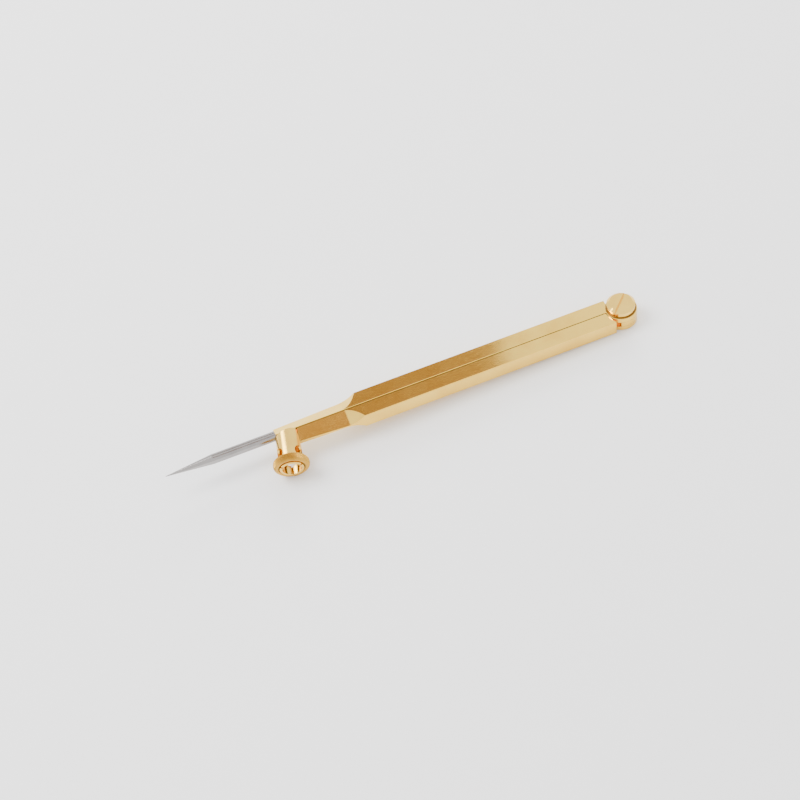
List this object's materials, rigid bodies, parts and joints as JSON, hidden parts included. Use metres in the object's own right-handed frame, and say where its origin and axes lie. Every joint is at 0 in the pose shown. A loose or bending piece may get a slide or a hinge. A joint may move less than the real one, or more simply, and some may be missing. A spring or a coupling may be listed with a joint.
{
  "type": "pencil compass",
  "caption": "Solid brass compass with two square legs, a fixed steel point and a split pencil holder closed by a knurled ring nut.",
  "frame": {"origin": "on the hinge axis, in the plane of the underside of the legs", "axes": "+X along the closed legs from the point to the hinge, +Z along the hinge axis towards the screw head, +Y towards the leg with the steel point"},
  "size_m": [0.1958, 0.0218, 0.0152],
  "materials": {
    "leg_brass": "polished by hand, fine crossed marks",
    "screw_brass": "turned and polished",
    "washer_brass": "dull, darkened",
    "holder_brass": "turned, satin",
    "knurl_brass": "knurled, satin",
    "point_steel": "ground steel"
  },
  "bodies": {
    "point_arm": {"point_leg": "leg_brass", "steel_point": "point_steel", "point_pin": "point_steel", "pivot_screw": "screw_brass", "pivot_washer": "washer_brass"},
    "pencil_arm": {"pencil_leg": "leg_brass", "collet_barrel": "holder_brass", "holder_stud": "holder_brass"},
    "ring_nut": {"collet_nut": "knurl_brass"}
  },
  "joints": [
    {"name": "leg_hinge", "type": "hinge", "parent": "point_arm", "child": "pencil_arm", "pos_m": [0, 0, 0.00317], "axis": [0, 0, 1], "range_deg": [0, 120]},
    {"name": "nut_turn", "type": "hinge", "parent": "pencil_arm", "child": "ring_nut", "pos_m": [-0.1437, -0.01243, 0.00163], "axis": [-0.2233, -0.9671, -0.1219], "continuous": true}
  ]
}
